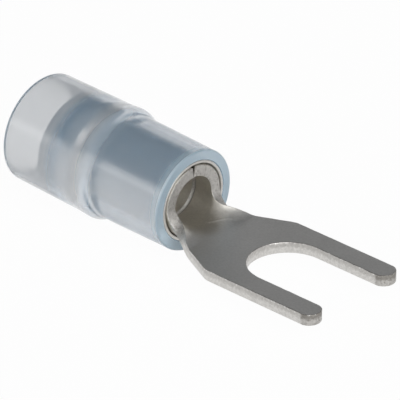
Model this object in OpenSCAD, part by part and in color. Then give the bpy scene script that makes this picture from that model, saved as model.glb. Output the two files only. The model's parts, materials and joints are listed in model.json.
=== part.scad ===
// Insulated fork terminal for a crimped wire: one stamped fork with a rolled barrel,
// a thin grip sleeve round the barrel and a nylon sleeve over both.
// The origin is the centre of the stud, on the underside of the tongue.
// X runs towards the tips of the fork and Z is up. The barrel's axis lies in the XZ plane.

/* [Fork] */
// Width of the slot that takes the stud
slot_w = 4.3; // [3.2:0.1:5.4]
// Width of each prong
prong_w = 1.3; // [0.9:0.05:2.4]
// Stud centre to the tips of the prongs
tip_reach = 4.7; // [3.6:0.1:8]
// Stud centre back to the shoulders
shoulder_back = 2.6; // [2.2:0.1:4]
// Thickness of the sheet
sheet_t = 0.65; // [0.5:0.05:0.9]

/* [Neck] */
// Length of the slanted flanks behind the shoulders
flank_len = 3.15; // [2:0.05:5]
// Flat width of the strip where it is narrowest
neck_w = 3.95; // [3:0.05:5]
// Length of the narrow strip between the flanks and the barrel's mouth
strip_len = 0.95; // [0.8:0.05:2]
// Length over which the rolled strip opens out flat
curl_len = 2.1; // [1.4:0.05:2.7]
// Rounding between the strip and the barrel's front edge
mouth_fillet = 0.8; // [0.3:0.05:1.2]

/* [Barrel] */
// Bore for the bared wire
bore_d = 2.7; // [2:0.05:3.4]
// Length of the barrel
barrel_len = 5.6; // [4.8:0.1:8]
// How far the barrel hangs below the tongue at its mouth
barrel_drop = 0.24; // [0:0.02:0.5]
// Angle by which the barrel's axis rises towards the back
barrel_rise = 1.75; // [0:0.05:4]
// Width of the butted seam at the bore
seam_w = 0.04; // [0.02:0.01:0.1]
// Width of the seam's open vee at the outside
seam_vee = 0.24; // [0.1:0.02:0.4]

/* [Serrations] */
// Number of grooves in the bore
groove_n = 3; // [1:1:4]
// Barrel mouth back to the first groove
groove_start = 2.1; // [1:0.1:2.2]
// Distance from groove to groove
groove_pitch = 0.9; // [0.5:0.05:0.9]
// Width of a groove
groove_w = 0.25; // [0.1:0.05:0.3]
// Depth of a groove
groove_depth = 0.08; // [0.04:0.01:0.15]

/* [Grip sleeve] */
// Wall of the grip sleeve
grip_wall = 0.15; // [0.1:0.01:0.25]
// Radial gap between the barrel and the grip sleeve
grip_gap = 0.07; // [0.03:0.01:0.12]
// Grip sleeve reaching past the back of the barrel before it widens
grip_past = 0.3; // [0.1:0.05:1]
// Length of the cone between the narrow part and the bell
cone_len = 1.4; // [0.8:0.1:2.5]
// Inside of the bell, for the wire's insulation
bell_d = 4.8; // [4.6:0.05:6]
// Length of the bell
bell_len = 1.3; // [0.6:0.1:3]

/* [Insulating sleeve] */
// Radial gap between the grip sleeve and the nylon
nylon_gap = 0.02; // [0.01:0.01:0.05]
// Wall of the nylon at its front edge
front_wall = 0.57; // [0.4:0.01:1]
// Extra radius of the front part where it meets the step
front_flare = 0.06; // [0:0.01:0.2]
// Wall of the nylon at its back edge
back_wall = 0.45; // [0.3:0.01:1]
// Extra radius of the back part where it meets the bead
back_flare = 0.06; // [0:0.01:0.2]
// Height of the bead above the back part
bead_h = 0.05; // [0.01:0.01:0.15]
// Length of the bead
bead_len = 0.9; // [0.5:0.05:1.5]
// Length of the step from the bead to the front part
step_len = 0.7; // [0.4:0.05:1.5]
// Front edge back to the foot of the step
front_len = 4.8; // [3.5:0.05:7]
// Nylon reaching past the back of the bell
skirt_len = 2.35; // [1:0.05:5]
// Rounding of the nylon's edges
edge_r = 0.12; // [0.05:0.01:0.2]

/* [Hidden] */
$fn = 64;

// Fork outline
slot_r = slot_w / 2;
tongue_half = slot_r + prong_w;
tip_r = prong_w / 2;

// Stations along X
mouth_x = -(shoulder_back + flank_len + strip_len);
flat_x = mouth_x + curl_len;
flank_slope = (tongue_half - neck_w / 2) / flank_len;
flank_end_x = -(shoulder_back + flank_len);

// Barrel
bore_r = bore_d / 2;
barrel_r = bore_r + sheet_t;
mid_r = bore_r + sheet_t / 2;
axis_z = barrel_r - barrel_drop;
bore_lead = sheet_t / 4;

// Grip sleeve, measured back from the mouth
grip_r = barrel_r + grip_gap;
bell_r = bell_d / 2;
cone_at = barrel_len + grip_past;
bell_at = cone_at + cone_len;
grip_end = bell_at + bell_len;

// Nylon sleeve, measured back from the mouth
nylon_front_r = grip_r + grip_wall + nylon_gap;
nylon_back_r = bell_r + grip_wall + nylon_gap;
front_r = nylon_front_r + front_wall;
back_r = nylon_back_r + back_wall;
bead_at = front_len + step_len;
sleeve_len = grip_end + skirt_len;

// Softness of the corner between the narrow strip and the flanks
blend = 0.15;
// How far the neck's ends reach into the barrel's wall and the tongue
seat_depth = 0.3;
// How much the neck's ends stay inside the faces that they run into
seat_inset = 0.02;

// Sections and sides of the neck, steps of a rounded edge, and the overshoot of a cut
fillet_steps = 5;
curl_steps = 8;
strip_sides = 24;
arc_steps = 6;
cut = 0.5;

// Smooth rise from 0 to 1
function ease(u) = u * u * (3 - 2 * u);

function mix(a, b, u) = a + (b - a) * u;

// Points on an arc, in a profile of radius and distance back
function arc(r, z, size, from, to) =
    [for (i = [0:arc_steps])
        let (a = mix(from, to, i / arc_steps))
        [r + size * cos(a), z + size * sin(a)]];

// Half of the strip's flat width, at a distance in front of the barrel's mouth
function strip_half(d) =
    let (rise = (mouth_x + d - flank_end_x) * flank_slope,
         widen = (rise + sqrt(rise * rise + blend * blend)) / 2,
         short = max(mouth_fillet - d, 0))
    neck_w / 2 + widen + mouth_fillet - sqrt(mouth_fillet * mouth_fillet - short * short);

// Distances in front of the mouth at which the strip's section is taken
strip_at = concat(
    [for (i = [0.5:fillet_steps]) mouth_fillet * (1 - cos(90 * i / fillet_steps))],
    [for (i = [0:curl_steps - 1]) mix(mouth_fillet, curl_len, i / curl_steps)]);

// One section of the strip: its lower row of points and then its upper row.
// The strip is bent to a curvature that fades from the barrel's to none, and it turns and
// rises from the barrel's slanted axis to the level tongue. At both ends it is a hair thinner
// and reaches on into the barrel's wall and the tongue.
function strip_section(d, reach) =
    let (u = d / curl_len,
         inset = seat_inset * pow(2 * u - 1, 2),
         half = strip_half(d) - inset,
         skin = sheet_t / 2 - inset,
         bend = (1 - ease(u)) / mid_r,
         turn = barrel_rise * (1 - ease(u)),
         foot_x = mix(mouth_x - mid_r * sin(barrel_rise), flat_x, u) + reach * cos(turn),
         foot_z = mix(axis_z - mid_r * cos(barrel_rise), sheet_t / 2, ease(u)) - reach * sin(turn))
    [for (side = [-1, 1], j = [0:strip_sides])
        let (s = half * (2 * j / strip_sides - 1),
             a = bend * s * 180 / PI,
             y = bend > 0 ? sin(a) / bend : s,
             h = bend > 0 ? (1 - cos(a)) / bend : 0,
             up = h + side * skin * cos(a))
        [foot_x + up * sin(turn), y - side * skin * sin(a), foot_z + up * cos(turn)]];

// Two triangles for four corners taken in order
function two_triangles(a, b, c, d) = [[a, c, b], [a, d, c]];

// The strip that opens from the rolled barrel to the flat tongue
module neck() {
    sections = concat(
        [strip_section(0, -seat_depth)],
        [for (d = strip_at) strip_section(d, 0)],
        [strip_section(curl_len, seat_depth)]);
    row = strip_sides + 1;
    ring = 2 * row;
    last = (len(sections) - 1) * ring;
    points = [for (section = sections, p = section) p];
    lower = [for (i = [0:len(sections) - 2], j = [0:strip_sides - 1])
        let (k = i * ring + j)
        each two_triangles(k, k + 1, k + ring + 1, k + ring)];
    upper = [for (i = [0:len(sections) - 2], j = [0:strip_sides - 1])
        let (k = i * ring + row + j)
        each two_triangles(k, k + ring, k + ring + 1, k + 1)];
    edges = [for (i = [0:len(sections) - 2])
        let (near = i * ring, far = near + strip_sides)
        each concat(
            two_triangles(near, near + ring, near + ring + row, near + row),
            two_triangles(far, far + row, far + ring + row, far + ring))];
    ends = [for (j = [0:strip_sides - 1])
        each concat(
            two_triangles(j, j + row, j + row + 1, j + 1),
            two_triangles(last + j, last + j + 1, last + j + row + 1, last + j + row))];
    polyhedron(points, concat(lower, upper, edges, ends));
}

// The flat fork: flanks, shoulders and two prongs with round tips, cut by the stud's slot
module tongue() {
    half = strip_half(curl_len);
    tip_x = tip_reach - tip_r;
    difference() {
        linear_extrude(sheet_t)
            union() {
                polygon([
                    [flat_x, -half], [-shoulder_back, -tongue_half], [tip_x, -tongue_half],
                    [tip_x, tongue_half], [-shoulder_back, tongue_half], [flat_x, half]]);
                for (side = [-1, 1])
                    translate([tip_x, side * (slot_r + tip_r)])
                        circle(tip_r);
            }
        translate([0, 0, -cut])
            linear_extrude(sheet_t + 2 * cut)
                union() {
                    circle(slot_r);
                    translate([0, -slot_r])
                        square([tip_reach + cut, slot_w]);
                }
    }
}

// Places a shape whose own Z runs back along the barrel from its mouth and whose own X is up
module on_barrel() {
    translate([mouth_x, 0, axis_z])
        rotate([0, barrel_rise - 90, 0])
            children();
}

// The rolled barrel with its open seam at the top, its serrations and the lead at the back
module barrel() {
    difference() {
        rotate_extrude()
            polygon([
                [bore_r, 0], [barrel_r, 0], [barrel_r, barrel_len],
                [bore_r + bore_lead, barrel_len], [bore_r, barrel_len - bore_lead]]);
        for (i = [0:groove_n - 1])
            translate([0, 0, groove_start + i * groove_pitch])
                cylinder(h = groove_w, r = bore_r + groove_depth);
        translate([0, 0, -cut])
            linear_extrude(barrel_len + 2 * cut)
                polygon([
                    [0, -seam_w / 2], [bore_r, -seam_w / 2], [barrel_r, -seam_vee / 2],
                    [barrel_r + cut, -seam_vee / 2], [barrel_r + cut, seam_vee / 2],
                    [barrel_r, seam_vee / 2], [bore_r, seam_w / 2], [0, seam_w / 2]]);
    }
}

module fork_terminal() {
    color("silver")
        union() {
            tongue();
            neck();
            on_barrel() barrel();
        }
}

module grip_sleeve() {
    color("gainsboro")
        on_barrel()
            rotate_extrude()
                polygon([
                    [grip_r, 0], [grip_r + grip_wall, 0], [grip_r + grip_wall, cone_at],
                    [bell_r + grip_wall, bell_at], [bell_r + grip_wall, grip_end],
                    [bell_r, grip_end], [bell_r, bell_at], [grip_r, cone_at]]);
}

module insulating_sleeve() {
    waist_r = front_r + front_flare;
    bead_r = back_r + back_flare + bead_h;
    // The bead swells and falls as half a wave, and the step is a smooth fall to the front part
    bead = [for (i = [arc_steps:-1:1])
        let (u = i / arc_steps)
        [mix(bead_r, back_r + back_flare, ease(u)), bead_at + bead_len * u]];
    step = [for (i = [arc_steps:-1:0])
        let (u = i / arc_steps)
        [mix(waist_r, bead_r, ease(u)), front_len + step_len * u]];
    color("lightsteelblue")
        on_barrel()
            rotate_extrude()
                polygon(concat(
                    [[nylon_front_r, 0], [nylon_front_r, cone_at]],
                    [[nylon_back_r, bell_at], [nylon_back_r, sleeve_len]],
                    arc(back_r - edge_r, sleeve_len - edge_r, edge_r, 90, 0),
                    bead,
                    step,
                    arc(front_r - edge_r, edge_r, edge_r, 0, -90)));
}

fork_terminal();
grip_sleeve();
insulating_sleeve();
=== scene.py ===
import json
import math
from functools import reduce

import bpy
import numpy as np
from bpy.props import FloatProperty, FloatVectorProperty, IntProperty, PointerProperty
from mathutils import Matrix, Vector
from mathutils.geometry import delaunay_2d_cdt


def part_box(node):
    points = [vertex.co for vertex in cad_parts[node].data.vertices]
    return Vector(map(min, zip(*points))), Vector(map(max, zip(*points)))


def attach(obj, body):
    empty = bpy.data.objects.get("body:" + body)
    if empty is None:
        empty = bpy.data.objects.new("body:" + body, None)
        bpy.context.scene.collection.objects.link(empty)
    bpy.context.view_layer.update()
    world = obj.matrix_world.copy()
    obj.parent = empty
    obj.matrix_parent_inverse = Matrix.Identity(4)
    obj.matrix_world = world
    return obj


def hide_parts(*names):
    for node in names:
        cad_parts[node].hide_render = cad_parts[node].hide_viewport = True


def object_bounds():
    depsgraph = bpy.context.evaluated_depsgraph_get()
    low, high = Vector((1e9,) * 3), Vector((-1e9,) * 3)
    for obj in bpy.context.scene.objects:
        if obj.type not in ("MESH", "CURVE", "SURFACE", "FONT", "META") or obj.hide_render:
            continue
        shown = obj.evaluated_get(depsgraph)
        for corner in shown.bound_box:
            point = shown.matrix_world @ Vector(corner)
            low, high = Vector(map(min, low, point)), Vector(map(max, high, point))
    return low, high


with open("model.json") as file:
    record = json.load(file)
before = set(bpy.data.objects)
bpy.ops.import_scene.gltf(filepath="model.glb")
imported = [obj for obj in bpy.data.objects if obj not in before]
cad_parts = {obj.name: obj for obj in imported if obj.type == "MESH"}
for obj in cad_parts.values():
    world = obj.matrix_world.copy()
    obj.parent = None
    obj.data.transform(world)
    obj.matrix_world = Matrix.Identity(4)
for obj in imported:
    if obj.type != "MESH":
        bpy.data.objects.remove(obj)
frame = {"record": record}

bl_info = {
    "name": "Insulated fork terminal",
    "version": (1, 0, 0),
    "blender": (4, 5, 0),
    "location": "3D View > Sidebar > Terminal",
    "description": "A stamped fork with a rolled barrel, its grip sleeve and its nylon sleeve",
    "category": "Add Mesh",
}

MM = 0.001
CAD_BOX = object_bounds()

# Points round a turned piece, and points in each rounding of the sheet's edge
SIDES = 168
EDGE_STEPS = 6

# A point that is this near to an edge counts as on it
NEAR = 0.01 * MM

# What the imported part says: its mounts, the high corners of its nodes and the barrel's axis
MOUNTS = {mount["name"]: mount for mount in frame["record"]["mounts"]}
FORK_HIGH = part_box("fork_terminal")[1]
GRIP_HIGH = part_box("grip_sleeve")[1]
NYLON_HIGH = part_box("insulating_sleeve")[1]
AXIS_BACK = Vector(MOUNTS["wire_barrel"]["axis"]).normalized()
AXIS_POINT = Vector(MOUNTS["wire_barrel"]["pos_m"])

# Lamps: place, point that it faces, side of its square in metres and power in watts
LAMPS = {
    "key": ((0.36, -0.15, 0.235), (-0.005, 0, 0), 0.30, 1.5),
    "glint": ((-0.30, -0.37, 0.155), (-0.012, 0, 0.002), 0.12, 0.05),
    "overhead": ((0.15, -0.05, 0.50), (-0.005, 0, 0), 0.90, 0.4),
}


def mount_size(name, key):
    """A stated size of a mount, in metres."""
    return MOUNTS[name]["dims"][key] * MM


def length(name, description, default):
    """A size that a user can set."""
    return FloatProperty(name=name, description=description, default=default,
                         unit="LENGTH", subtype="DISTANCE", precision=6)


def spot(name, description, default):
    """A place that a user can set."""
    return FloatVectorProperty(name=name, description=description, default=default,
                               size=len(default), unit="LENGTH", precision=6)


def degrees(name, description, default):
    """An angle that a user can set, with its default in degrees."""
    return FloatProperty(name=name, description=description, default=math.radians(default), subtype="ANGLE")


def colour(name, description, default):
    """A colour that a user can set, as linear red, green and blue."""
    return FloatVectorProperty(name=name, description=description, default=default,
                               subtype="COLOR", size=3, min=0.0, max=1.0)


def share(name, description, default):
    """A value between nothing and all."""
    return FloatProperty(name=name, description=description, default=default,
                         subtype="FACTOR", min=0.0, max=1.0)


# Sizes and finishes that a user would change

class ForkSizes(bpy.types.PropertyGroup):
    """The stamped sheet: fork, neck and barrel."""
    sheet: length("Sheet", "Thickness of the sheet", mount_size("stud_slot", "length_mm"))
    slot_radius: length("Slot radius", "Half the width of the stud's slot", mount_size("stud_slot", "r_mm"))
    tongue_half: length("Half width", "Half the width across the prongs", FORK_HIGH.y)
    tip_reach: length("Tip reach", "Stud centre to the tips of the prongs", FORK_HIGH.x)
    tip_radius: length("Tip radius", "Radius of the rounded tips", 0.66 * MM)
    shoulder_back: length("Shoulder", "Stud centre back to the shoulders", 2.6 * MM)
    flank: length("Flank", "Length of the slanted flanks", 3.15 * MM)
    neck: length("Neck", "Flat width of the narrow strip", 3.95 * MM)
    strip: length("Strip", "Flanks back to the barrel's mouth", 0.95 * MM)
    curl: length("Curl", "Length over which the rolled strip opens out flat", 2.1 * MM)
    mouth_fillet: length("Mouth fillet", "Rounding between strip and barrel edge", 0.8 * MM)
    flank_blend: length("Flank blend", "Softness where the strip turns into the flanks", 0.15 * MM)
    shoulder_blend: length("Shoulder blend", "Softness of the shoulders", 0.06 * MM)
    bore_radius: length("Bore radius", "Half of the barrel's bore", mount_size("wire_barrel", "r_mm"))
    barrel: length("Barrel", "Length of the barrel", 5.6 * MM)
    seam: length("Seam", "Half the seam's gap at the bore", 0.02 * MM)
    seam_vee: length("Seam vee", "Half the seam's gap at the outside", 0.12 * MM)
    front_groove: length("Front groove", "Mouth back to the groove near it", 1.12 * MM)
    groove_start: length("First groove", "Mouth back to the first of the even grooves", 2.1 * MM)
    groove_pitch: length("Groove pitch", "Distance from even groove to even groove", 0.9 * MM)
    groove_width: length("Groove width", "Width of a groove", 0.25 * MM)
    groove_depth: length("Groove depth", "Depth of a groove", 0.09 * MM)
    groove_front: length("Groove front", "Length of a groove's steep front wall", 0.04 * MM)
    groove_slant: length("Groove slant", "Length of a groove's slanted back wall", 0.09 * MM)
    grooves: IntProperty(name="Grooves", description="Number of even grooves in the bore", default=3, min=0)
    lead: length("Lead", "Rounding of the bore's back edge", 0.16 * MM)
    upper_edge: length("Upper edge", "Rounding along the burred upper edge", 0.045 * MM)
    lower_edge: length("Lower edge", "Rounding along the rolled lower edge", 0.07 * MM)
    burr: length("Burr", "Unevenness of the upper edge", 0.012 * MM)
    crease: length("Crease", "Height of the die mark beside the neck", 0.03 * MM)
    crease_width: length("Crease width", "Half the width of the die mark", 0.12 * MM)
    crease_start: spot("Crease start", "Back end of the die mark on the blank", (-6.06 * MM, 0.54 * MM))
    crease_end: spot("Crease end", "Front end of the die mark on the blank", (-5.25 * MM, 1.41 * MM))


class GripSizes(bpy.types.PropertyGroup):
    """The thin metal sleeve round the barrel."""
    bell_radius: length("Bell radius", "Inside of the bell", mount_size("insulation_grip", "r_mm"))
    bell: length("Bell", "Length of the bell", mount_size("insulation_grip", "length_mm"))
    wall: length("Wall", "Wall of the sleeve", GRIP_HIGH.y - mount_size("insulation_grip", "r_mm"))
    gap: length("Gap", "Gap between barrel and sleeve", 0.08 * MM)
    narrow: length("Narrow part", "Length of the narrow part", 5.9 * MM)
    cone: length("Cone", "Length of the cone", 1.4 * MM)
    bend: length("Bend", "Rounding where the cone begins and ends", 1.6 * MM)
    edge: length("Edge", "Rounding of the sleeve's edges", 0.04 * MM)


class NylonSizes(bpy.types.PropertyGroup):
    """The translucent sleeve over barrel and grip sleeve."""
    back_bore: length("Back bore", "Radius of the bore at the back", mount_size("wire_entry", "r_mm"))
    front_bore: length("Front bore", "Radius of the bore at the front", 2.24 * MM)
    front_radius: length("Front radius", "Outside at the front edge", 2.81 * MM)
    waist_radius: length("Waist radius", "Outside at the foot of the step", 2.87 * MM)
    bead_radius: length("Bead radius", "Outside on the bead", NYLON_HIGH.y)
    back_flare: length("Back flare", "Outside behind the bead", 3.08 * MM)
    back_radius: length("Back radius", "Outside at the back edge", 3.02 * MM)
    front: length("Front part", "Front edge back to the step", 4.8 * MM)
    step: length("Step", "Length of the step", 0.7 * MM)
    bead: length("Bead", "Length of the bead behind its top", 0.9 * MM)
    whole: length("Length", "Length of the sleeve", 10.95 * MM)
    veil: length("Veil", "Length over which the haze turns thicker", 0.7 * MM)
    lead: length("Lead", "How far the bore widens ahead of the grip sleeve's cone", 0.3 * MM)
    edge: length("Edge", "Rounding of the outer edges", 0.12 * MM)
    inner_edge: length("Inner edge", "Rounding of the bore's edges", 0.05 * MM)


class Finishes(bpy.types.PropertyGroup):
    """Colours and gloss."""
    tin: colour("Tin", "Rolled faces of the tinned sheet", (0.625, 0.622, 0.613))
    # Painted light: the barrel's colour is a warmer copy of the tin, painted lighter to stand in for light
    # inside the bore
    bore: colour("Bore", "Rolled faces inside the barrel", (0.75, 0.72, 0.655))
    sheared: colour("Sheared edge", "Sheared edges of the tinned sheet", (0.60, 0.587, 0.565))
    broken: colour("Broken edge", "Broken upper part of the sheared edges", (0.28, 0.265, 0.245))
    # Painted shade: the seam's dark colour stands for the shade in the seam's gap
    seam: colour("Seam", "Dark inside of the barrel's seam", (0.10, 0.085, 0.06))
    tin_rough: share("Tin roughness", "Roughness of the rolled faces", 0.45)
    sheared_rough: share("Edge roughness", "Roughness of the sheared edges", 0.36)
    coarse_rough: share("Coarse roughness", "Roughness of the tips and of the barrel's mouth", 0.60)
    # The sleeve's colour is also that of the painted glints on the sheet's edges
    sleeve: colour("Grip sleeve", "Drawn tinned sleeve", (0.98, 0.975, 0.96))
    sleeve_rough: share("Sleeve roughness", "Roughness of the drawn sleeve", 0.48)
    nylon: colour("Nylon", "Tint of what is seen through the nylon", (0.935, 0.90, 0.87))
    nylon_rough: share("Nylon roughness", "Roughness of the nylon", 0.15)
    end_rough: share("End roughness", "Roughness of the nylon's ends", 0.32)
    haze: colour("Haze", "Light that a thin wall of nylon throws back", (0.06, 0.50, 0.98))
    milk: colour("Milk", "Light that nylon in depth throws back", (0.60, 0.765, 0.885))
    pale: colour("Pale", "Light that the bead and the empty back throw back", (0.68, 0.74, 0.81))
    haze_share: share("Haze share", "Haze of the nylon's wall", 0.24)
    ridge_share: share("Ridge share", "Haze of the nylon's thick bead", 0.34)
    clear_share: share("Clear share", "Haze of the nylon where nothing lies in it", 0.44)
    inside_share: share("Inside share", "Haze of the bore where nothing lies in it", 0.26)
    milk_share: share("Milk share", "Haze of the nylon's ends, where the eye looks along the wall", 0.52)
    foot_pale: share("Foot paleness", "How pale the haze is at the foot of the step", 0.25)
    ridge_pale: share("Ridge paleness", "How pale the haze is on top of the bead", 0.5)
    clear_pale: share("Clear paleness", "How pale the haze is where nothing lies in the nylon", 0.8)


class StageSettings(bpy.types.PropertyGroup):
    """Floor, light and camera."""
    sky: share("Sky", "Level of the grey surroundings", 0.178)
    floor: colour("Floor", "Colour of the floor", (0.90, 0.90, 0.90))
    white: share("White", "Share of plain white in the floor that the camera sees", 0.97)
    reach: length("Reach", "Radius of the floor", 3.0)
    flat: share("Flat part", "Share of the floor that is flat", 0.1)
    rim: degrees("Rim", "Height of the floor's rim as seen from the part", 18.0)
    aim: spot("Aim", "Point that the camera looks at", (-6.3516 * MM, 0.1187 * MM, 1.8696 * MM))
    distance: length("Distance", "Camera to the point that it looks at", 342.394 * MM)
    azimuth: degrees("Azimuth", "Camera's turn about Z", 43.658)
    elevation: degrees("Elevation", "Camera's height above the horizon", 28.554)
    roll: degrees("Roll", "Camera's turn about its own axis", -0.102)
    lens: FloatProperty(name="Lens", description="Focal length in millimetres", default=595.94)
    sensor: FloatProperty(name="Sensor", description="Width of the sensor in millimetres", default=36.0)


class TerminalSettings(bpy.types.PropertyGroup):
    """Everything that the terminal is built from."""
    fork: PointerProperty(type=ForkSizes)
    grip: PointerProperty(type=GripSizes)
    nylon: PointerProperty(type=NylonSizes)
    finish: PointerProperty(type=Finishes)
    stage: PointerProperty(type=StageSettings)


# Shapes

def ease(u):
    """Smooth rise from 0 to 1: three u squared less two u cubed."""
    return u * u * (3 - 2 * u)


def mix(a, b, u):
    """What lies between a and b at the share u of the way."""
    return a + (b - a) * u


def unit(vectors):
    """Vectors brought to length one."""
    return vectors / np.linalg.norm(vectors, axis=-1, keepdims=True)


def spread(start, end, step):
    """Even numbers from a start to an end, without the end."""
    return np.linspace(start, end, max(1, round(abs(end - start) / step)), endpoint=False)


def run(start, end, step):
    """Even points of a straight run, without its end."""
    start, end = np.array(start, float), np.array(end, float)
    return mix(start, end, spread(0, 1, step / np.linalg.norm(end - start))[:, None])


def arc(centre, radius, first, last, count):
    """Points on a circle between two angles in degrees, without the last one."""
    angle = np.radians(mix(first, last, np.arange(count) / count))
    return np.array(centre) + radius * np.stack([np.cos(angle), np.sin(angle)], 1)


class Blank:
    """The flat blank of the sheet, and where each of its points lies once it is rolled.
    A point is x along the terminal, s across the blank and n above its middle plane."""

    def __init__(self, size):
        self.size = size
        self.middle = size.bore_radius + size.sheet / 2
        self.mouth_x = -(size.shoulder_back + size.flank + size.strip)
        self.flat_x = self.mouth_x + size.curl
        self.rear_x = self.mouth_x - size.barrel
        self.tip_half = (size.tongue_half - size.slot_radius) / 2
        self.tip_turn = math.asin(self.tip_half / size.tip_radius)
        self.tip_x = size.tip_reach - size.tip_radius * (1 - math.cos(self.tip_turn))
        self.rise = math.asin(AXIS_BACK.z)
        self.axis = AXIS_POINT + AXIS_BACK * ((self.mouth_x - AXIS_POINT.x) / AXIS_BACK.x)
        self.seam_s = self.seam_reach(0.0)
        self.mark_start = np.array(size.crease_start)
        self.mark_end = np.array(size.crease_end)

    def seam_reach(self, n):
        """How far the blank reaches round the barrel: half a turn less the seam's gap, which
        widens from the bore to the outside."""
        size = self.size
        gap = mix(size.seam_vee, size.seam, n / size.sheet + 0.5)
        return self.middle * (math.pi - np.arcsin(gap / (self.middle - n)))

    def half_width(self, x):
        """Half the blank's width in front of the mouth: a fillet at the barrel's edge, the narrow
        strip, a straight flank and the prong, with soft corners made by square roots."""
        size = self.size
        slope = (size.tongue_half - size.neck / 2) / size.flank
        climb = (x + size.shoulder_back + size.flank) * slope
        flank = size.neck / 2 + (climb + np.hypot(climb, size.flank_blend)) / 2
        over = flank - size.tongue_half
        width = size.tongue_half + (over - np.hypot(over, size.shoulder_blend)) / 2
        short = np.clip(size.mouth_fillet - (x - self.mouth_x), 0, size.mouth_fillet)
        return width + size.mouth_fillet - np.sqrt(size.mouth_fillet ** 2 - short ** 2)

    def outline(self):
        """The blank's outline as points of x and s, clockwise from the middle of the back edge:
        back edge, seam, mouth, neck, flank, prong, tip and slot, then the same mirrored."""
        size = self.size
        step = 0.15 * MM
        root = self.half_width(self.mouth_x)
        past_shoulder = 2 * step - size.shoulder_back
        turn = np.radians(np.arange(0, 90, 6))
        tip_turn = math.degrees(self.tip_turn)
        along = np.concatenate([
            self.mouth_x + size.mouth_fillet * (1 - np.cos(turn)),
            spread(self.mouth_x + size.mouth_fillet, past_shoulder, step / 2),
            spread(past_shoulder, self.tip_x, step)])
        half = np.concatenate([
            run((self.rear_x, 0), (self.rear_x, self.seam_s), step),
            run((self.rear_x, self.seam_s), (self.mouth_x, self.seam_s), step),
            run((self.mouth_x, self.seam_s), (self.mouth_x, root), step),
            np.stack([along, self.half_width(along)], 1),
            arc((size.tip_reach - size.tip_radius, size.slot_radius + self.tip_half), size.tip_radius,
                tip_turn, -tip_turn, 30),
            run((self.tip_x, size.slot_radius), (0, size.slot_radius), step),
            arc((0, 0), size.slot_radius, 90, 180, 30),
            [(-size.slot_radius, 0)]])
        return np.concatenate([half, half[-2:0:-1] * (1, -1)])

    def opened(self, x):
        """How far the sheet has opened out at x: 0 up to the mouth and 1 where the tongue is flat."""
        return np.clip((x - self.mouth_x) / self.size.curl, 0, 1)

    def rolled(self, x):
        """Share of the barrel's curvature that the sheet has at x."""
        return 1 - ease(self.opened(x))

    def place(self, x, s, n):
        """The rolled sheet. Across, it is bent to a circle whose curvature is the barrel's up to the
        mouth and fades to none where the tongue is flat. Its section turns and rises alike, from
        the barrel's slanted axis to the level tongue. The slant of the seam's sides moves the blank's
        outermost part only, by a high power of s."""
        u = self.opened(x)
        rolled = self.rolled(x)
        s = s + (self.seam_reach(n) - self.seam_s) * np.sign(s) * (np.abs(s) / self.seam_s) ** 8
        angle = s * rolled / self.middle
        turn = self.rise * rolled
        foot_x = self.axis.x - self.middle * math.sin(self.rise)
        foot_z = self.axis.z - self.middle * math.cos(self.rise)
        behind = np.minimum(x - self.mouth_x, 0)
        beyond = np.maximum(x - self.flat_x, 0)
        foot_x = mix(foot_x, self.flat_x, u) + behind * math.cos(self.rise) + beyond
        foot_z = mix(foot_z, self.size.sheet / 2, ease(u)) - behind * math.sin(self.rise)
        across = s * np.sinc(angle / math.pi) - n * np.sin(angle)
        half_sinc = np.sinc(angle / (2 * math.pi))
        up = s * angle / 2 * half_sinc ** 2 + n * np.cos(angle)
        return np.stack([foot_x + up * np.sin(turn), across, foot_z + up * np.cos(turn)], -1)

    def groove_starts(self):
        """How far behind the mouth each groove of the bore begins."""
        size = self.size
        even = size.groove_start + size.groove_pitch * np.arange(size.grooves)
        return np.append(even, size.front_groove)

    def groove(self, x):
        """Depth of the bore's grooves at x: a steep front wall, a flat bottom and a slanted back wall."""
        size = self.size
        into = (self.mouth_x - x)[..., None] - self.groove_starts()
        front = np.clip(into / size.groove_front, 0, 1)
        back = np.clip((size.groove_width - into) / size.groove_slant, 0, 1)
        return size.groove_depth * np.minimum(front, back).sum(-1)

    def in_groove(self, x):
        """1 between the walls of a groove and 0 elsewhere."""
        half = self.size.groove_width / 2
        away = np.abs((self.mouth_x - x)[..., None] - self.groove_starts() - half).min(-1)
        return (away < half + NEAR / 2).astype(float)

    def crease(self, x, s):
        """Height of the die mark at a point of the blank: a low ridge along a straight line."""
        along = self.mark_end - self.mark_start
        from_start = np.stack([x, s], -1) - self.mark_start
        u = np.clip(from_start @ along / (along @ along), 0, 1)
        away = np.linalg.norm(from_start - u[..., None] * along, axis=-1)
        return self.size.crease * np.clip(1 - away / self.size.crease_width, 0, 1)

    def lattice(self):
        """Points inside the blank, in rows across it, where the sheet is rolled or opens out. Rows are
        closer in the neck and lie on the walls of the grooves, and five rows run along the die mark."""
        size = self.size
        inside = 0.2 * MM
        barrel_step, barrel_across, wall_clearance = 0.18 * MM, 107, 0.05 * MM
        neck_step, neck_across = 0.06 * MM, 61
        mark_step, mark_clearance = 0.04 * MM, 0.03 * MM

        lips = [-NEAR, 0.0, size.groove_front, size.groove_width - size.groove_slant,
                size.groove_width, size.groove_width + NEAR]
        walls = self.mouth_x - np.add.outer(self.groove_starts(), lips).ravel()
        plain = np.arange(self.rear_x + 2 * inside, self.mouth_x - inside, barrel_step)
        clear = np.abs(plain[:, None] - walls).min(1) > wall_clearance
        rows = np.concatenate([plain[clear], walls])
        barrel = np.stack(np.meshgrid(rows, np.linspace(-1, 1, barrel_across) * (self.seam_s - inside)), -1)

        rows = np.arange(self.mouth_x, self.flat_x + inside, neck_step)
        reach = np.minimum(self.half_width(rows), self.half_width(rows + inside)) - inside
        across = np.outer(reach, np.linspace(-1, 1, neck_across))
        neck = np.stack([np.repeat(rows, neck_across), across.ravel()], 1)

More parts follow.
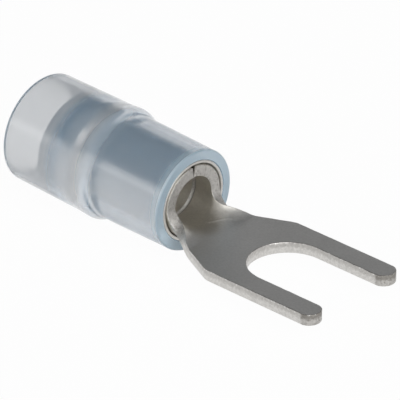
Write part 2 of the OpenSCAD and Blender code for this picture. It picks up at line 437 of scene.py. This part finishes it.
        along = unit(self.mark_end - self.mark_start)
        aside = np.array([-along[1], along[0]]) * size.crease_width
        mark = np.concatenate([run(self.mark_start + way * aside, self.mark_end + way * aside, mark_step)
                               for way in np.linspace(-1, 1, 5)])
        from_mark = np.linalg.norm(neck[:, None] - mark, axis=2).min(1)
        return np.concatenate([barrel.reshape(-1, 2), neck[from_mark > mark_clearance], mark])


def inset_directions(outline):
    """For each point of a clockwise outline, the step inwards that moves both of its edges by one."""
    ahead = unit(np.roll(outline, -1, 0) - outline)
    right = np.stack([ahead[:, 1], -ahead[:, 0]], 1)
    before = np.roll(right, 1, 0)
    return (right + before) / (1 + (right * before).sum(1))[:, None]


def ring_faces(rings, count):
    """Quads between rings of points that close on themselves."""
    here = np.arange(rings - 1)[:, None] * count + np.arange(count)
    there = np.arange(rings - 1)[:, None] * count + (np.arange(count) + 1) % count
    return np.stack([here, there, there + count, here + count], -1).reshape(-1, 4)


def fill(border, inner):
    """Triangles that fill a closed border with some points inside it. Their corners count the
    border's points first and then the inner ones."""
    inside_only, tolerance = 1, 1e-6
    points = np.concatenate([border, inner]) / MM
    count = len(border)
    edges = np.stack([np.arange(count), (np.arange(count) + 1) % count], 1)
    made = delaunay_2d_cdt([Vector(p) for p in points.tolist()], edges.tolist(), [], inside_only, tolerance)
    if len(made[0]) != len(points):
        raise RuntimeError("the sheet's outline crosses itself")
    return np.array(made[2])


def new_piece(name, points, faces, material):
    """A smooth mesh object at the origin."""
    mesh = bpy.data.meshes.new(name)
    mesh.from_pydata(points.tolist(), [], faces)
    mesh.shade_smooth()
    mesh.materials.append(material)
    piece = bpy.data.objects.new(name, mesh)
    bpy.context.scene.collection.objects.link(piece)
    return piece


def put_attribute(piece, name, values):
    """Stores one number for each point of a piece."""
    data = piece.data.attributes.new(name, "FLOAT", "POINT").data
    data.foreach_set("value", np.ascontiguousarray(values, np.float32))


def upper_rounding(blank, outline):
    """Radius of the upper rounding along the outline: the lead on the bore's back edge, which fades out
    towards the seam, and that of the burred edge elsewhere."""
    fade = 0.8 * MM
    on_back = outline[:, 0] < blank.rear_x + NEAR
    from_seam = np.clip((blank.seam_s - np.abs(outline[:, 1])) / fade, 0, 1)
    return mix(blank.size.upper_edge, blank.size.lead, on_back * ease(from_seam))


def burr(blank, outline):
    """Unevenness of the upper edge along the outline: smoothed random numbers on the fork, none behind."""
    fork_x = blank.mouth_x + 0.5 * MM
    draw = np.random.default_rng(11)
    uneven = np.convolve(draw.normal(size=len(outline)), [0.25, 0.5, 0.25], "same")
    return np.where(outline[:, 0] < fork_x, 0, uneven * blank.size.burr)


def edge_rings(blank, outline):
    """Rings of the sheet's edge, from the upper face to the lower one: how far in from the outline and
    how high above the middle plane they lie. Their section is a margin on the upper face, a quarter
    round, a straight side, a larger quarter round and a margin on the lower face. The burr grows
    from the upper face to the side."""
    margin = 0.04 * MM
    least_burr = 0.3
    half = blank.size.sheet / 2
    turn = np.radians(np.linspace(0, 90, EDGE_STEPS))[:, None]
    upper = upper_rounding(blank, outline)
    lower = np.full(len(outline), blank.size.lower_edge)
    top_in = upper * (1 - np.sin(turn))
    top_n = half - upper * (1 - np.cos(turn))
    low_in = lower * (1 - np.sin(turn[::-1]))
    low_n = lower * (1 - np.cos(turn[::-1])) - half
    side_n = mix(top_n[-1], low_n[0], np.array([[1], [2]]) / 3)
    inset = np.concatenate([top_in[:1] + margin, top_in, 0 * side_n, low_in, low_in[-1:] + margin])
    height = np.concatenate([top_n[:1], top_n, side_n, low_n, low_n[-1:]])
    inset[2:EDGE_STEPS + 1] += burr(blank, outline) * np.linspace(least_burr, 1, EDGE_STEPS - 1)[:, None]
    return inset, height


def edge_values(blank, outline, flat_x, height):
    """What the material reads at the points of the edge: was it sheared, how high on the edge and how far
    along the outline does it lie, is it coarse, how much does the edge break off in steps, is it in
    the seam, whose flanks get painted shade, and how far is the sheet rolled, which also sets how far the
    barrel's painted light reaches. The side is sheared between the middles of its roundings, the tips and
    the mouth are coarse, and the edge is whole near the mouth and most broken at the tips."""
    x, s = outline.T
    plain_break, tip_break = 0.4, 1.0
    middle = EDGE_STEPS // 2
    sheared = np.zeros_like(height)
    sheared[middle:-middle - 1] = 1
    at_tip = x > blank.tip_x - NEAR
    from_mouth = np.clip(np.abs(x - blank.mouth_x) / blank.size.mouth_fillet - 1, 0, 1)
    return {
        "sheared": sheared,
        "rise": height / blank.size.sheet + 0.5,
        "along": np.cumsum(np.linalg.norm(outline - np.roll(outline, 1, 0), axis=1)),
        "coarse": np.maximum(at_tip, 1 - ease(from_mouth)),
        "stepped": mix(plain_break, tip_break, at_tip) * from_mouth,
        # The seam's flanks, which get painted shade
        "seam": (np.abs(s) > blank.seam_s - NEAR) & (x < blank.mouth_x - NEAR),
        "rolled": blank.rolled(flat_x),
    }


def fork_sheet(size, material):
    """The stamped and rolled sheet. An edge profile is carried along the blank's outline, the two faces
    are filled, and every point is moved to where the rolled sheet has it. The die mark stands up from
    the upper face, and the grooves are sunk in it."""
    blank = Blank(size)
    outline = blank.outline()
    inset, height = edge_rings(blank, outline)
    rings, count = inset.shape
    flat = outline + inset[..., None] * inset_directions(outline)
    edge = blank.place(flat[..., 0], flat[..., 1], height).reshape(-1, 3)

    # The two faces, whose corners count the first or the last ring and then the face's own points
    inner = blank.lattice()
    x, s = inner.T
    half = size.sheet / 2
    relief = blank.crease(x, s) - blank.groove(x)
    top = blank.place(x, s, half + relief)
    low = blank.place(x, s, -half)
    last_ring = (rings - 1) * count
    upper_fill = fill(flat[0], inner)
    upper_fill = upper_fill + last_ring * (upper_fill >= count)
    lower_fill = fill(flat[-1], inner)[:, ::-1]
    lower_fill = lower_fill + last_ring + len(inner) * (lower_fill >= count)
    faces = ring_faces(rings, count).tolist() + upper_fill.tolist() + lower_fill.tolist()
    piece = new_piece("fork_sheet", np.concatenate([edge, top, low]), faces, material)

    # What the material reads at each point
    none = np.zeros(len(inner))
    grooved = blank.in_groove(x)
    on_top = {"sheared": grooved, "coarse": grooved, "rolled": blank.rolled(x)}
    on_low = {"rolled": blank.rolled(x)}
    for name, values in edge_values(blank, outline, flat[..., 0], height).items():
        on_edge = np.broadcast_to(values, height.shape).ravel()
        parts = [on_edge, on_top.get(name, none), on_low.get(name, none)]
        put_attribute(piece, name, np.concatenate(parts))
    return piece


def rounded(corners, radii, count=8):
    """A closed profile with its corners rounded to given radii. Each round runs from the spoke that meets
    the run before the corner to the spoke that meets the run after it, blended by sines."""
    corners = np.array(corners, float)
    radii = np.array(radii)[:, None]
    before = unit(np.roll(corners, 1, 0) - corners)
    after = unit(np.roll(corners, -1, 0) - corners)
    half = np.arccos(np.clip((before * after).sum(1, keepdims=True), -1, 1)) / 2
    sweep = math.pi - 2 * half
    centre = corners + unit(before + after) * radii / np.sin(half)
    first = corners + before * radii / np.tan(half) - centre
    last = corners + after * radii / np.tan(half) - centre
    u = np.linspace(0, 1, count)
    from_first = np.sin((1 - u) * sweep) / np.sin(sweep)
    from_last = np.sin(u * sweep) / np.sin(sweep)
    spokes = from_first[..., None] * first[:, None] + from_last[..., None] * last[:, None]
    return (centre[:, None] + spokes).reshape(-1, 2)


def supported(profile):
    """A closed profile with points added in its long runs: one close to each end, so that the shading
    of the corner stays there, and even ones between them. Its first two columns are its shape."""
    long_run, spacing, from_end = 0.2 * MM, 0.5 * MM, 0.02 * MM
    rows = []
    for start, end in zip(profile, np.roll(profile, -1, 0)):
        rows.append(start[None])
        reach = np.linalg.norm((end - start)[:2])
        if reach > long_run:
            near = from_end / reach
            count = math.ceil(reach / spacing)
            u = np.concatenate([[near], np.arange(1, count) / count, [1 - near]])
            rows.append(mix(start, end, u[:, None]))
    return np.concatenate(rows)


def revolve(name, profile, material):
    """A closed profile of radius and distance back, carried round the barrel's axis."""
    blank = Blank(bpy.context.scene.terminal.fork)
    across = Vector((0, 1, 0))
    up = AXIS_BACK.cross(across)
    angle = np.arange(SIDES) * 2 * math.pi / SIDES
    spokes = np.outer(np.cos(angle), across) + np.outer(np.sin(angle), up)
    radius, back = profile.T
    points = np.array(blank.axis) + np.multiply.outer(back, np.array(AXIS_BACK))[:, None, :]
    points = points + radius[:, None, None] * spokes
    here = np.arange(len(profile))[:, None] * SIDES + np.arange(SIDES)
    faces = np.stack([here, np.roll(here, -1, 0), np.roll(here, (-1, -1), (0, 1)),
                      np.roll(here, -1, 1)], -1).reshape(-1, 4)
    return new_piece(name, points.reshape(-1, 3), faces.tolist(), material)


def grip_shell(size, fork, material):
    """The drawn sleeve: a narrow tube, a cone and a bell, one wall thick, turned round the axis. Its
    two ends are cut."""
    inner = fork.bore_radius + fork.sheet + size.gap
    outer = inner + size.wall
    bell_at = size.narrow + size.cone
    end = bell_at + size.bell
    bell_outer = size.bell_radius + size.wall
    corners = [(inner, 0), (inner, size.narrow), (size.bell_radius, bell_at), (size.bell_radius, end),
               (bell_outer, end), (bell_outer, bell_at), (outer, size.narrow), (outer, 0)]
    radii = [size.edge, size.bend + size.wall, size.bend, size.edge,
             size.edge, size.bend + size.wall, size.bend, size.edge]
    profile = supported(rounded(corners, radii))
    piece = revolve("grip_shell", profile, material)
    from_end = np.minimum(profile[:, 1], end - profile[:, 1])
    put_attribute(piece, "sheared", np.repeat(from_end < size.edge + NEAR, SIDES))
    return piece


def nylon_shell(size, grip, finish, material):
    """The moulded sleeve, turned round the axis: a slightly tapered front part, a smooth step up to
    a low bead, a tapered back part, and a bore that narrows smoothly round the grip sleeve's cone.
    Each point also has a share of haze: most on the ends, more on the bead and where nothing lies in
    the sleeve than on the rest of the outside, and none where the bore lies on metal. A second number
    says how pale that haze is."""
    bell_at = grip.narrow + grip.cone
    bell_end = bell_at + grip.bell
    bead_top = size.front + size.step
    bead_end = bead_top + size.bead
    edge, inner = size.edge, size.inner_edge
    ahead_of_edge = 1.2 * edge
    u = np.linspace(0, 1, 20)

    # The outside from front to back, as radius and distance back
    front = arc((size.front_radius - edge, edge), edge, -90, 0, 10)
    taper = np.array([edge, size.veil, size.front - size.veil])
    slim = mix(size.front_radius, size.waist_radius, (taper - edge) / (size.front - edge))
    rim, foot = np.split(np.stack([slim, taper], 1), [2])
    step = np.stack([mix(size.waist_radius, size.bead_radius, ease(u)), size.front + size.step * u], 1)
    bead = np.stack([mix(size.bead_radius, size.back_flare, ease(u)), bead_top + size.bead * u], 1)[1:]
    veil = bell_at + size.veil * np.array([0, 1])
    flare = mix(size.back_flare, size.back_radius, (veil - bead_end) / (size.whole - bead_end))
    on_bell = np.stack([flare, veil], 1)
    before_back = [(size.back_radius, size.whole - ahead_of_edge)]
    back = arc((size.back_radius - edge, size.whole - edge), edge, 0, 90, 10)
    back_end = [(size.back_radius - edge, size.whole)]

    # The bore from back to front
    back_in = arc((size.back_bore + inner, size.whole - inner), inner, 90, 180, 6)
    empty = [(size.back_bore, size.whole - inner), (size.back_bore, bell_end)]
    bore = np.stack([mix(size.back_bore, size.front_bore, ease(ease(u))),
                     bell_at - size.lead - grip.cone * u], 1)
    front_in = arc((size.front_bore + inner, inner), inner, 180, 270, 6)
    front_end = [(size.front_bore + inner, 0)]

    # For each part the haze at its first and last point, and how pale it is. The outside's first point
    # has a little less haze than the end, because the material makes matt what has all of it.
    wall, end = finish.haze_share, finish.milk_share
    below_end = 0.9 * end
    ridge, clear, inside = finish.ridge_share, finish.clear_share, finish.inside_share
    hump = np.sin(u * math.pi / 2)
    step_pale = mix(finish.foot_pale, finish.ridge_pale, hump)
    bead_pale = finish.ridge_pale * hump[-2::-1]
    clear_pale = finish.clear_pale
    parts = ((front, end, end, 0), (rim, below_end, wall, 0), (foot, wall, wall, 0),
             (step, ridge, ridge, step_pale), (bead, ridge, wall, bead_pale),
             (on_bell, wall, clear, (0, clear_pale)), (before_back, clear, clear, clear_pale),
             (back, end, end, 0), (back_end, end, end, 0), (back_in, end, inside, 0),
             (empty, inside, inside, 1), (bore, 0, 0, 0), (front_in, 0, end, 0), (front_end, end, end, 0))
    profile = np.concatenate([
        np.column_stack([points, np.linspace(first, last, len(points)), np.broadcast_to(pale, len(points))])
        for points, first, last, pale in parts])
    profile = supported(profile)[::-1]
    piece = revolve("nylon_shell", profile[:, :2], material)
    put_attribute(piece, "milk", np.repeat(profile[:, 2], SIDES))
    put_attribute(piece, "pale", np.repeat(profile[:, 3], SIDES))
    return piece


# Materials

def wire(tree, node, inputs):
    """Feeds a node's inputs, each from another node's socket or with a constant."""
    for name, value in inputs.items():
        if isinstance(value, bpy.types.NodeSocket):
            tree.links.new(value, node.inputs[name])
        else:
            node.inputs[name].default_value = value


def add(tree, kind, inputs=None, **settings):
    """A new node with its settings and what feeds its inputs."""
    made = tree.nodes.new(kind)
    for name, value in settings.items():
        setattr(made, name, value)
    wire(tree, made, inputs or {})
    return made


def math_node(tree, operation, first, second):
    """A Math node on two sockets or numbers."""
    return add(tree, "ShaderNodeMath", {0: first, 1: second}, operation=operation).outputs[0]


def plus(tree, *values):
    """The sum of some sockets and numbers."""
    return reduce(lambda first, second: math_node(tree, "ADD", first, second), values)


def times(tree, *values):
    """The product of some sockets and numbers."""
    return reduce(lambda first, second: math_node(tree, "MULTIPLY", first, second), values)


def above(tree, value, level, steepness):
    """A mask that rises from 0 to 1 where a value passes a level."""
    steep = times(tree, plus(tree, value, -level), steepness)
    return math_node(tree, "MINIMUM", math_node(tree, "MAXIMUM", steep, 0.0), 1.0)


def rgba(values):
    """A colour with full alpha."""
    return (*values, 1.0)


def mix_colour(tree, factor, first, second):
    """A Mix node on two colours, each a socket or three numbers."""
    made = add(tree, "ShaderNodeMix", data_type="RGBA")
    index = {socket.identifier: place for place, socket in enumerate(made.inputs)}
    first, second = (value if isinstance(value, bpy.types.NodeSocket) else rgba(value)
                     for value in (first, second))
    wire(tree, made, {index["Factor_Float"]: factor, index["A_Color"]: first, index["B_Color"]: second})
    return next(socket for socket in made.outputs if socket.identifier == "Result_Color")


def in_millimetres(tree, stretch=(1, 1, 1)):
    """Object coordinates in millimetres, stretched by some factors."""
    coordinates = add(tree, "ShaderNodeTexCoord").outputs["Object"]
    scale = [factor / MM for factor in stretch]
    return add(tree, "ShaderNodeMapping", {"Vector": coordinates, "Scale": scale}).outputs["Vector"]


def noise(tree, vector, scale):
    """A noise pattern between 0 and 1."""
    made = add(tree, "ShaderNodeTexNoise", {"Vector": vector, "Scale": scale, "Detail": 3.0})
    return made.outputs["Fac"]


def attribute(tree, name):
    """A number that is stored for each point of a piece."""
    return add(tree, "ShaderNodeAttribute", attribute_name=name).outputs["Fac"]


def new_material(name):
    """A new material, its node tree and its Principled shader."""
    material = bpy.data.materials.new(name)
    material.use_nodes = True
    return material, material.node_tree, material.node_tree.nodes["Principled BSDF"]


def tin_group():
    """Tin plating, for every tinned piece: a cloudy change of tone and a fine matt grain."""
    cloud_rough, grain_rough = 0.6, 0.5
    tree = bpy.data.node_groups.new("tin_plating", "ShaderNodeTree")
    for name, kind in (("Colour", "NodeSocketColor"), ("Roughness", "NodeSocketFloat"),
                       ("Cloud", "NodeSocketFloat"), ("Grain", "NodeSocketFloat")):
        tree.interface.new_socket(name, in_out="INPUT", socket_type=kind)
    for name, kind in (("Colour", "NodeSocketColor"), ("Roughness", "NodeSocketFloat"),
                       ("Height", "NodeSocketFloat")):
        tree.interface.new_socket(name, in_out="OUTPUT", socket_type=kind)
    given = add(tree, "NodeGroupInput").outputs
    place = in_millimetres(tree)
    cloud = noise(tree, place, scale=0.9)
    grain = noise(tree, place, scale=8.0)
    tone = times(tree, plus(tree, cloud, -0.5), given["Cloud"])
    speck = times(tree, plus(tree, grain, -0.5), given["Grain"])
    level = plus(tree, tone, speck, 1.0)
    scaled = add(tree, "ShaderNodeVectorMath", {0: given["Colour"], "Scale": level}, operation="SCALE")
    rough = plus(tree, given["Roughness"], times(tree, tone, cloud_rough), times(tree, speck, grain_rough))
    add(tree, "NodeGroupOutput", {"Colour": scaled.outputs[0], "Roughness": rough, "Height": grain})
    return tree


def shared_tin():
    """The tin plating's node group, built once."""
    return bpy.data.node_groups.get("tin_plating") or tin_group()


def plate(tree, shader, plating, extra_height, strength):
    """Makes a shader tinned metal: the tin plating with its inputs, and some height added to its grain."""
    tin = add(tree, "ShaderNodeGroup", plating, node_tree=shared_tin()).outputs
    height = plus(tree, tin["Height"], extra_height)
    bump = add(tree, "ShaderNodeBump", {"Strength": strength, "Distance": 0.004 * MM, "Height": height})
    wire(tree, shader, {"Base Color": tin["Colour"], "Roughness": tin["Roughness"],
                        "Normal": bump.outputs["Normal"], "Metallic": 1.0})


def sheet_material(finish):
    """Tinned sheet: satin rolled faces that are warmer in the barrel and painted lighter there as light
    inside the bore, and sheared edges with streaks across the sheet. The upper part of an edge is broken
    and gritty, with painted glints as bright specks along its top. The tips and the barrel's mouth are
    coarse and pitted, and the seam's flanks are painted dark as the shade in its gap."""
    border_wander, most_glint = 0.6, 0.4
    coarse_dull, pit_dull = 0.3, 0.5
    face_grain, edge_grain = 0.30, 0.70
    streak_height, grit_height = 3.0, 10.0
    material, tree, shader = new_material("tinned_sheet")
    sheared = attribute(tree, "sheared")
    rise = attribute(tree, "rise")
    coarse = times(tree, attribute(tree, "coarse"), sheared)
    grit = noise(tree, in_millimetres(tree), scale=7.0)
    streak_inputs = {"W": attribute(tree, "along"), "Scale": 9.0 / MM, "Detail": 2.0}
    streak = add(tree, "ShaderNodeTexNoise", streak_inputs, noise_dimensions="1D").outputs["Fac"]

    # Masks
    ragged = plus(tree, rise, times(tree, grit, border_wander))
    broken = times(tree, above(tree, ragged, level=0.75, steepness=4.0), sheared)
    stepped = times(tree, broken, attribute(tree, "stepped"))
    # Painted glints: bright specks near the top of the broken edges
    glint_crest = times(tree, above(tree, rise, level=0.80, steepness=10.0),
                  math_node(tree, "MINIMUM", stepped, most_glint))
    speck = times(tree, glint_crest, above(tree, grit, level=0.54, steepness=12.0))
    pits = times(tree, above(tree, grit, level=0.52, steepness=6.0), coarse)

    # Colour
    # Painted light: faces take the lighter bore colour as the sheet rolls, standing in for light inside the
    # barrel
    face = mix_colour(tree, attribute(tree, "rolled"), finish.tin, finish.bore)
    plain = mix_colour(tree, sheared, face, finish.sheared)
    worn = mix_colour(tree, stepped, plain, finish.broken)
    dull = plus(tree, times(tree, coarse, coarse_dull), times(tree, pits, pit_dull))
    pitted = mix_colour(tree, dull, worn, finish.broken)
    # Painted shade: the seam's flanks turn dark
    seam_shaded = mix_colour(tree, attribute(tree, "seam"), pitted, finish.seam)
    # Painted glints in the sleeve's pale colour
    metal = mix_colour(tree, speck, seam_shaded, finish.sleeve)

    # Roughness and height
    rough = plus(tree, times(tree, sheared, finish.sheared_rough - finish.tin_rough),
                 times(tree, coarse, finish.coarse_rough - finish.sheared_rough), finish.tin_rough)
    grain = plus(tree, times(tree, sheared, edge_grain - face_grain), face_grain)
    streaks = times(tree, streak, sheared, streak_height)
    gritty = times(tree, grit, math_node(tree, "MAXIMUM", broken, coarse), grit_height)
    plating = {"Colour": metal, "Roughness": rough, "Cloud": 0.10, "Grain": grain}
    plate(tree, shader, plating, plus(tree, streaks, gritty), strength=0.5)
    return material


def sleeve_material(finish):
    """Drawn tinned sleeve: smoother, with faint draw lines along the axis and matt cut edges."""
    line_height = 2.0
    material, tree, shader = new_material("tinned_sleeve")
    sheared = attribute(tree, "sheared")
    metal = mix_colour(tree, sheared, finish.sleeve, finish.sheared)
    rough = plus(tree, times(tree, sheared, finish.coarse_rough - finish.sleeve_rough), finish.sleeve_rough)
    lines = noise(tree, in_millimetres(tree, stretch=(0.15, 1, 1)), scale=7.0)
    plating = {"Colour": metal, "Roughness": rough, "Cloud": 0.12, "Grain": 0.06}
    plate(tree, shader, plating, times(tree, lines, line_height), strength=0.15)
    return material


def nylon_material(finish):
    """Translucent nylon: a clear shader, faintly cloudy and uneven, mixed with a milky one by each point's
    haze. The haze is blue where it is thin, turns to milk towards the ends, where the eye looks along
    the wall, and is pale where the point says so. The ends are more matt."""
    cloud_pale, uneven_rough, fine_height = 0.15, 0.08, 0.2
    material, tree, clear = new_material("clear_nylon")
    milky = add(tree, "ShaderNodeBsdfPrincipled")
    milk = attribute(tree, "milk")
    place = in_millimetres(tree)
    cloud = noise(tree, place, scale=0.6)
    fine = noise(tree, place, scale=5.0)

    # Colour
    paler = [mix(value, 1.0, cloud_pale) for value in finish.nylon]
    depth = math_node(tree, "DIVIDE", milk, finish.milk_share)
    hazy = mix_colour(tree, depth, finish.haze, finish.milk)
    tint = mix_colour(tree, cloud, finish.nylon, paler)
    glow = mix_colour(tree, attribute(tree, "pale"), hazy, finish.pale)
    wire(tree, clear, {"Base Color": tint, "Transmission Weight": 1.0})
    wire(tree, milky, {"Base Color": glow})

    # Roughness and height
    uneven = times(tree, plus(tree, fine, -0.5), uneven_rough)
    at_end = above(tree, depth, level=0.97, steepness=50.0)
    matt = times(tree, at_end, finish.end_rough - finish.nylon_rough)
    rough = plus(tree, uneven, matt, finish.nylon_rough)
    height = plus(tree, cloud, times(tree, fine, fine_height))
    bump = add(tree, "ShaderNodeBump", {"Strength": 0.12, "Distance": 0.01 * MM, "Height": height})
    for shader in (clear, milky):
        wire(tree, shader, {"IOR": 1.53, "Roughness": rough, "Normal": bump.outputs["Normal"]})

    both = add(tree, "ShaderNodeMixShader", {"Fac": milk, 1: clear.outputs[0], 2: milky.outputs[0]})
    wire(tree, tree.nodes["Material Output"], {"Surface": both.outputs[0]})
    return material


# Stage

def floor_material(stage):
    """A pale matt floor that the camera, metal and glass see nearly as plain white, shadow kept."""
    material, tree, shader = new_material("pale_floor")
    tree.nodes.remove(shader)
    matt = add(tree, "ShaderNodeBsdfDiffuse", {"Color": rgba(stage.floor)})
    white = add(tree, "ShaderNodeEmission", {"Strength": 1.0})
    ray = add(tree, "ShaderNodeLightPath").outputs
    mirrored = math_node(tree, "MAXIMUM", ray["Is Glossy Ray"], ray["Is Transmission Ray"])
    seen = times(tree, math_node(tree, "MAXIMUM", ray["Is Camera Ray"], mirrored), stage.white)
    both = add(tree, "ShaderNodeMixShader", {"Fac": seen, 1: matt.outputs[0], 2: white.outputs[0]})
    wire(tree, tree.nodes["Material Output"], {"Surface": both.outputs[0]})
    return material


def floor_dish(stage, material):
    """A round floor under the part: flat in the middle, then rising as a square to its rim, so that
    the horizon lies a little above the level."""
    count = 96
    u = np.linspace(0.05, 1, 20)[:, None]
    angle = np.arange(count) * 2 * math.pi / count
    lift = math.tan(stage.rim) * np.clip((u - stage.flat) / (1 - stage.flat), 0, 1) ** 2
    points = np.stack(np.broadcast_arrays(u * np.cos(angle), u * np.sin(angle), lift), -1) * stage.reach
    points[..., 2] += CAD_BOX[0].z
    faces = ring_faces(len(u), count)[:, ::-1].tolist() + [list(range(count))]
    return new_piece("floor", points.reshape(-1, 3), faces, material)


def area_lamp(name, place, target, size, power):
    """A soft square lamp that faces a point."""
    data = bpy.data.lights.new(name, "AREA")
    data.size = size
    data.energy = power
    lamp = bpy.data.objects.new(name, data)
    lamp.location = place
    lamp.rotation_euler = (Vector(target) - Vector(place)).to_track_quat("-Z", "Y").to_euler()
    bpy.context.scene.collection.objects.link(lamp)


def photo_camera(stage):
    """A camera that looks at a point from an azimuth, an elevation and a distance."""
    level = math.cos(stage.elevation)
    back = Vector((math.sin(stage.azimuth) * level, -math.cos(stage.azimuth) * level,
                   math.sin(stage.elevation)))
    right = Vector((math.cos(stage.azimuth), math.sin(stage.azimuth), 0))
    upright = Matrix((right, back.cross(right), back)).transposed()
    turned = Matrix.Rotation(stage.roll, 3, back) @ upright
    data = bpy.data.cameras.new("photo_view")
    data.sensor_width = stage.sensor
    data.sensor_fit = "HORIZONTAL"
    data.lens = stage.lens
    data.clip_start = 0.01
    camera = bpy.data.objects.new("photo_view", data)
    camera.matrix_world = Matrix.Translation(Vector(stage.aim) + back * stage.distance) @ turned.to_4x4()
    bpy.context.scene.collection.objects.link(camera)
    return camera


# Operators

def seat(piece, node):
    """Ties a piece to the body and stands it for its CAD node."""
    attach(piece, "root")
    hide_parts(node)


class TERMINAL_OT_fork_sheet(bpy.types.Operator):
    """Make the stamped fork with its neck and rolled barrel"""
    bl_idname = "terminal.fork_sheet"
    bl_label = "Fork sheet"

    def execute(self, context):
        settings = context.scene.terminal
        piece = fork_sheet(settings.fork, sheet_material(settings.finish))
        seat(piece, "fork_terminal")
        return {"FINISHED"}


class TERMINAL_OT_grip_shell(bpy.types.Operator):
    """Make the thin metal sleeve round the barrel"""
    bl_idname = "terminal.grip_shell"
    bl_label = "Grip sleeve"

    def execute(self, context):
        settings = context.scene.terminal
        piece = grip_shell(settings.grip, settings.fork, sleeve_material(settings.finish))
        seat(piece, "grip_sleeve")
        return {"FINISHED"}


class TERMINAL_OT_nylon_shell(bpy.types.Operator):
    """Make the translucent nylon sleeve"""
    bl_idname = "terminal.nylon_shell"
    bl_label = "Nylon sleeve"

    def execute(self, context):
        settings = context.scene.terminal
        material = nylon_material(settings.finish)
        piece = nylon_shell(settings.nylon, settings.grip, settings.finish, material)
        seat(piece, "insulating_sleeve")
        return {"FINISHED"}


class TERMINAL_OT_stage(bpy.types.Operator):
    """Make the floor, the light and the camera"""
    bl_idname = "terminal.stage"
    bl_label = "Stage"

    def execute(self, context):
        scene = context.scene
        stage = scene.terminal.stage
        floor_dish(stage, floor_material(stage))
        world = bpy.data.worlds.new("grey_surroundings")
        world.use_nodes = True
        world.node_tree.nodes["Background"].inputs["Color"].default_value = rgba([stage.sky] * 3)
        scene.world = world
        scene.view_settings.view_transform = "Standard"
        for name, (place, target, size, power) in LAMPS.items():
            area_lamp(name, place, target, size, power)
        scene.camera = photo_camera(stage)
        return {"FINISHED"}


class TERMINAL_PT_panel(bpy.types.Panel):
    """Lists what the terminal is made of"""
    bl_idname = "TERMINAL_PT_panel"
    bl_label = "Fork terminal"
    bl_space_type = "VIEW_3D"
    bl_region_type = "UI"
    bl_category = "Terminal"

    def draw(self, context):
        for operator in OPERATORS:
            self.layout.operator(operator.bl_idname)


OPERATORS = (TERMINAL_OT_fork_sheet, TERMINAL_OT_grip_shell, TERMINAL_OT_nylon_shell, TERMINAL_OT_stage)
CLASSES = (ForkSizes, GripSizes, NylonSizes, Finishes, StageSettings, TerminalSettings,
           *OPERATORS, TERMINAL_PT_panel)


def register():
    for made in CLASSES:
        bpy.utils.register_class(made)
    bpy.types.Scene.terminal = PointerProperty(type=TerminalSettings)


def unregister():
    del bpy.types.Scene.terminal
    for made in reversed(CLASSES):
        bpy.utils.unregister_class(made)


def main():
    """Builds the terminal and its stage."""
    register()
    bpy.ops.terminal.fork_sheet()
    bpy.ops.terminal.grip_shell()
    bpy.ops.terminal.nylon_shell()
    bpy.ops.terminal.stage()


if __name__ == "__main__":
    main()
